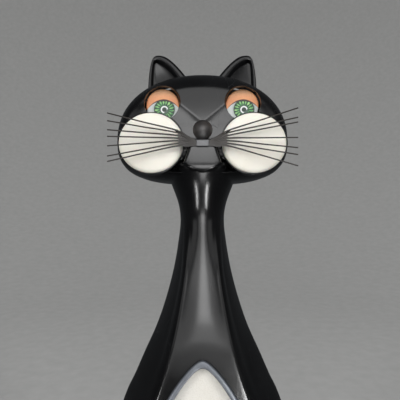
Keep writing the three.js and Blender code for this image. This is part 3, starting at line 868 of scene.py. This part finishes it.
def iris_colour(g, reach, x, z):
    """Two rings of green petals round a dark pupil with an open white ring on it."""
    angle = g.math("ARCTAN2", z, x)
    sway = g.math("MULTIPLY", g.noise(330, 2), 5.0)
    petal = g.math("COSINE", g.math("ADD", g.math("MULTIPLY", angle, IRIS["petals"]), sway))
    ring = g.math("ABSOLUTE", g.math("SUBTRACT", reach, 4.7))
    petals = g.math("SUBTRACT", petal, g.math("MULTIPLY", ring, 0.85))
    petals = g.ramp(petals, -0.75, 0.1)
    turn = g.math("MULTIPLY", angle, IRIS["short_petals"])
    short = g.math("COSINE", g.math("ADD", turn, 1.2))
    inner = g.math("ABSOLUTE", g.math("SUBTRACT", reach, 3.3))
    shorts = g.ramp(g.math("SUBTRACT", short, g.math("MULTIPLY", inner, 1.6)), -0.3, 0.3)
    green = g.mix(g.ramp(g.noise(420, 2), 0.35, 0.65), rgb(66, 160, 84), rgb(176, 226, 140))
    iris = g.mix(petals, rgb(24, 62, 40), green)
    iris = g.mix(g.math("MULTIPLY", shorts, 0.7), iris, rgb(56, 130, 78))
    iris = g.mix(g.ramp(reach, 6.2, IRIS["radius"]), iris, rgb(26, 52, 36))
    iris = g.mix(g.ramp(reach, 2.75, 2.45), iris, rgb(72, 92, 78))
    iris = g.mix(g.ramp(reach, PUPIL_RADIUS, 1.2), iris, rgb(30, 44, 36))
    around = g.math("ABSOLUTE", g.math("SUBTRACT", reach, GLINT_RADIUS))
    gap = g.ramp(g.math("ADD", x, g.math("MULTIPLY", z, -1.0)), 2.0, 1.6)
    glint = g.math("MULTIPLY", g.ramp(around, 0.5, 0.36), gap)
    return g.mix(glint, iris, rgb(238, 240, 240))


def eye_print():
    """The printed eye: an orange lid over a dark lash, then white, iris, pupil and glint."""
    g = Graph("eye_print")
    x, _, z = g.split()
    u = g.math("MULTIPLY", x, 1 / MM)
    v = g.math("MULTIPLY", z, 1 / MM)

    def distance(place):
        dx = g.math("SUBTRACT", u, place["x"])
        dz = g.math("SUBTRACT", v, place["z"])
        square = g.math("ADD", g.math("MULTIPLY", dx, dx), g.math("MULTIPLY", dz, dz))
        return g.math("SQRT", square), dx, dz

    from_lid, lid_x, _ = distance(LID)
    from_iris, iris_x, iris_z = distance(IRIS)
    edge = LID["radius"]
    grain = g.noise(900, 3)
    lid = g.mix(g.ramp(v, 3, 10), rgb(248, 164, 110), rgb(255, 192, 136))
    lid = g.mix(g.ramp(grain, 0.4, 0.8, 0, 0.25), lid, rgb(205, 120, 80))
    white = g.mix(g.ramp(from_iris, 6.6, 8.6), rgb(180, 190, 188), rgb(226, 230, 228))
    colour = g.mix(g.ramp(from_lid, edge, edge + 0.15), white, lid)

    iris = iris_colour(g, from_iris, iris_x, iris_z)
    in_iris = g.ramp(from_iris, IRIS["radius"] + 0.15, IRIS["radius"])
    inside = g.math("MULTIPLY", in_iris, g.ramp(from_lid, edge + 0.1, edge))
    colour = g.mix(inside, colour, iris)

    half_lash = g.math("SUBTRACT", 0.85, g.math("MULTIPLY", g.math("ABSOLUTE", lid_x), 0.07))
    off = g.math("ABSOLUTE", g.math("SUBTRACT", from_lid, edge))
    lash = g.ramp(g.math("SUBTRACT", half_lash, off), 0.0, 0.25)
    lash = g.math("MULTIPLY", lash, g.ramp(v, -3.0, -2.0))
    colour = g.mix(lash, colour, rgb(48, 30, 24))
    rough = g.ramp(grain, 0.3, 0.7, 0.36, 0.5)
    return g.finish(colour, rough, g.bump(grain, 0.08, 0.0002))


def nose_black():
    g = Graph("nose_black")
    fine = g.noise(700, 5)
    broad = g.noise(160, 3)
    colour = g.mix(g.ramp(broad, 0.35, 0.7), rgb(34, 32, 32), rgb(56, 52, 50))
    rough = g.ramp(fine, 0.3, 0.7, 0.38, 0.52)
    return g.finish(colour, rough, g.bump(fine, 0.25, 0.0004))


def bezel_metal():
    g = Graph("bezel_metal")
    brush = g.noise(900, 3, g.stretch((1.0, 1.0, 0.15)))
    broad = g.noise(60, 3)
    colour = g.mix(g.ramp(broad, 0.3, 0.7), rgb(78, 82, 88), rgb(100, 104, 110))
    rough = g.math("ADD", g.ramp(brush, 0.3, 0.7, 0.34, 0.46), g.math("MULTIPLY", broad, 0.05))
    return g.finish(colour, rough, g.bump(brush, 0.08, 0.0002), Metallic=0.4)


def dial_card():
    """Off-white card with a raised grain."""
    g = Graph("dial_card")
    grain = g.noise(1500, 4)
    fleck = g.cells(1100)
    broad = g.noise(30, 3)
    colour = g.mix(g.ramp(broad, 0.3, 0.7), rgb(226, 223, 216), rgb(214, 210, 201))
    colour = g.mix(g.ramp(fleck, 0.45, 0.15, 0, 0.4), colour, rgb(196, 190, 180))
    return g.finish(colour, g.ramp(grain, 0.3, 0.7, 0.6, 0.8), g.bump(grain, 0.5, 0.0005))


def brushed(name, colour, worn, roughness):
    """Sheet metal with a fine one-way brush and dull patches."""
    g = Graph(name)
    brush = g.noise(500, 3, g.stretch((0.12, 1.0, 1.0)))
    broad = g.noise(45, 4)
    mixed = g.mix(g.ramp(broad, 0.4, 0.75), colour, worn)
    lines = g.ramp(brush, 0.3, 0.7, roughness - 0.06, roughness + 0.06)
    rough = g.math("ADD", lines, g.math("MULTIPLY", broad, 0.12))
    return g.finish(mixed, rough, g.bump(brush, 0.12, 0.0002), Metallic=1.0)


def copper_wire():
    g = Graph("copper_wire")
    turns = g.noise(1400, 2, g.stretch((0.3, 1.6, 0.3)))
    colour = g.mix(turns, rgb(150, 78, 36), rgb(96, 44, 20))
    return g.finish(colour, g.ramp(turns, 0.3, 0.7, 0.3, 0.45), g.bump(turns, 0.4, 0.0004), Metallic=0.7)


def build_materials():
    return {
        "gloss_black": gloss_black(),
        "back_black": plain("back_black", rgb(46, 46, 48), rgb(66, 65, 63), 0.5, 900, 0.0005),
        "cream": cream_plastic(),
        "nose_black": nose_black(),
        "whisker_brown": plain("whisker_brown", rgb(27, 23, 20), rgb(52, 46, 40), 0.45, 800, 0.0003),
        "clip_grey": plain("clip_grey", rgb(82, 83, 86), rgb(104, 104, 105), 0.42, 700, 0.0003),
        "eye_print": eye_print(),
        "bezel_metal": bezel_metal(),
        "dial_white": dial_card(),
        "hand_black": plain("hand_black", rgb(20, 20, 21), rgb(38, 38, 38), 0.38, 600, 0.0002),
        "steel": brushed("steel", rgb(168, 170, 172), rgb(128, 126, 122), 0.34),
        "brass": brushed("brass", rgb(196, 160, 84), rgb(150, 116, 58), 0.34),
        "copper": copper_wire(),
        "nylon": plain("nylon", rgb(222, 217, 200), rgb(204, 196, 174), 0.48, 500, 0.0003),
        "magnet": plain("magnet", rgb(62, 62, 65), rgb(90, 88, 86), 0.5, 600, 0.0004, metallic=0.5),
    }


def body_with(node):
    return frame["nodes"][node]["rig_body"]


def put(piece, node, slot_name, looks, replaced=True):
    """Gives a piece its finish, and fastens it to the CAD body that holds the node."""
    piece.data.materials.clear()
    piece.data.materials.append(looks[slot_name])
    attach(piece, body_with(node))
    if replaced:
        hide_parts(node)
    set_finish(piece, slot_name)


def dress_cad(looks):
    """Gives every CAD node that is still shown the finish of its own slot."""
    slots = {m["slot"]: m for m in frame["record"]["materials"]}
    for node in frame["nodes"].values():
        if node.hide_render:
            continue
        for held in node.material_slots:
            base = held.material.name.split(".")[0]
            if base in slots:
                held.material = looks[base]
                node["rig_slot"] = base


# ---- stage ----
def build_bowl():
    """A pale floor that curves up into a wall all round, far from the clock."""
    flat, curve = FLOOR["flat"], FLOOR["curve"]
    profile = [(0.02, 0), (flat / 2, 0), (flat, 0)]
    for i in range(1, 25):
        angle = math.pi / 2 * i / 24
        profile.append((flat + curve * math.sin(angle), curve - curve * math.cos(angle)))
    profile.append((flat + curve, FLOOR["wall"]))
    points = []
    for radius, height in profile:
        for i in range(ROUND_SIDES):
            angle = 2 * math.pi * i / ROUND_SIDES
            x = radius * math.cos(angle)
            y = radius * math.sin(angle)
            points.append((x / MM, y / MM, (height + FLOOR["height"]) / MM))
    faces = []
    for r in range(len(profile) - 1):
        a = r * ROUND_SIDES
        b = (r + 1) * ROUND_SIDES
        for i in range(ROUND_SIDES):
            j = (i + 1) % ROUND_SIDES
            faces.append((a + j, a + i, b + i, b + j))
    faces.append(tuple(range(ROUND_SIDES)))
    bowl = make_object("studio_floor", points, faces)
    bowl.data.shade_smooth()
    paper = plain("studio_paper", rgb(178, 178, 177), rgb(170, 170, 169), 0.85, 40, 0.001, shine=0)
    bowl.data.materials.append(paper)
    bowl.visible_glossy = False


def area_light(name, place, aim, size, power):
    data = bpy.data.lights.new(name, "AREA")
    data.shape = "RECTANGLE"
    data.size = size[0]
    data.size_y = size[1]
    data.energy = power
    light = bpy.data.objects.new(name, data)
    light.location = place
    light.rotation_euler = (Vector(aim) - Vector(place)).to_track_quat("-Z", "Y").to_euler()
    light.visible_camera = False
    bpy.context.scene.collection.objects.link(light)
    return light


def flat_light(name, x, y, level, size, power):
    """A panel in front of the clock, square to the wall."""
    return area_light(name, (x, y, level), (x, 0, level), size, power)


def build_lights():
    area_light("front_panel", (0, -2.6, 1.25), (0, 0, 0.9), (2.4, 1.7), 28)
    unseen = [area_light("top", (0, 0.2, 3.4), (0, 0.2, 0), (3, 3), 34)]
    # the rear lights reach the back cover and what is on it, and not the floor
    back_only = bpy.data.collections.new("back_only")
    for node in frame["nodes"].values():
        back_only.objects.link(node)
    for side in (-1, 1):
        unseen.append(area_light("key", (side * 2.1, -2.1, 1.4), (0, 0, 0.7), (1.2, 1.5), 50))
        rear = area_light("rear", (side * 0.5, 0.8, 0.1), (0, 0, AIM_LEVEL), (0.4, 0.6), 5)
        rear.light_linking.receiver_collection = back_only
        unseen.append(rear)
    for light in unseen:
        light.visible_glossy = False

    # these only show as reflections in the glossy case
    left_neck, right_neck = (-0.003, -0.037, -0.044), (0.003, -0.037, -0.045)
    reflected = [
        flat_light("low_panel", 0, -0.72, AIM_LEVEL, (0.56, 0.52), 1.5),
        flat_light("face_card", 0, CARD_Y, 0.009, (0.1, 0.032), 0.05),
        flat_light("snout_card", 0, CARD_Y, -0.013, (0.03, 0.014), 0.005),
        flat_light("neck_card", 0.006, CARD_Y, -0.095, (0.034, 0.08), 0.06),
        flat_light("neck_glow", 0.005, CARD_Y, -0.125, (0.04, 0.1), 0.028),
        area_light("left_glint", (-0.079, CARD_Y, -0.24), left_neck, (0.014, 0.06), 0.12),
        area_light("right_glint", (0.054, CARD_Y, -0.235), right_neck, (0.018, 0.06), 0.16),
        area_light("left_soft", (-1.6, -1.6, 0.4), (0, 0, -0.1), (1.2, 1.8), 6),
        area_light("right_soft", (1.6, -1.6, 0.4), (0, 0, -0.1), (1.2, 1.8), 6),
    ]
    for light in reflected:
        light.visible_diffuse = False

    world = bpy.data.worlds.new("studio")
    world.use_nodes = True
    background = world.node_tree.nodes["Background"]
    background.inputs["Color"].default_value = (0.9, 0.95, 1, 1)
    background.inputs["Strength"].default_value = 0.06
    bpy.context.scene.world = world


def build_camera():
    data = bpy.data.cameras.new("camera")
    data.lens = 36
    data.sensor_width = 36
    data.clip_start = 0.01
    data.clip_end = 20
    camera = bpy.data.objects.new("camera", data)
    camera.location = CAMERA
    camera.rotation_euler = (math.pi / 2, 0, 0)
    bpy.context.scene.collection.objects.link(camera)
    bpy.context.scene.camera = camera


# ---- assembly ----
looks = build_materials()
put(build_shell(), "front_shell", "gloss_black", looks)
for side, word in ((-1, "left"), (1, "right")):
    put(build_cheek(side, f"{word}_cheek_dome"), f"{word}_cheek", "cream", looks)
    put(build_eye(side, f"{word}_eye_disc"), f"{word}_eye", "eye_print", looks)
put(build_whiskers(-1, LEFT_TIPS, "left_bristles"), "left_whiskers", "whisker_brown", looks)
put(build_whiskers(1, RIGHT_TIPS, "right_bristles"), "right_whiskers", "whisker_brown", looks)
put(build_nose(), "nose", "nose_black", looks)
put(build_clip(), "whisker_clip", "clip_grey", looks)
put(build_bezel(), "dial_bezel", "bezel_metal", looks)
put(build_dial(), "dial_plate", "dial_white", looks)
put(build_print(), "dial_plate", "hand_black", looks, replaced=False)
put(build_hand("hour_blade", HOUR_HAND), "hour_hand", "hand_black", looks)
put(build_hand("minute_blade", MINUTE_HAND), "minute_hand", "hand_black", looks)
put(build_tail(), "tail", "gloss_black", looks)
dress_cad(looks)

build_bowl()
build_lights()
build_camera()
bpy.context.scene.view_settings.view_transform = "Standard"
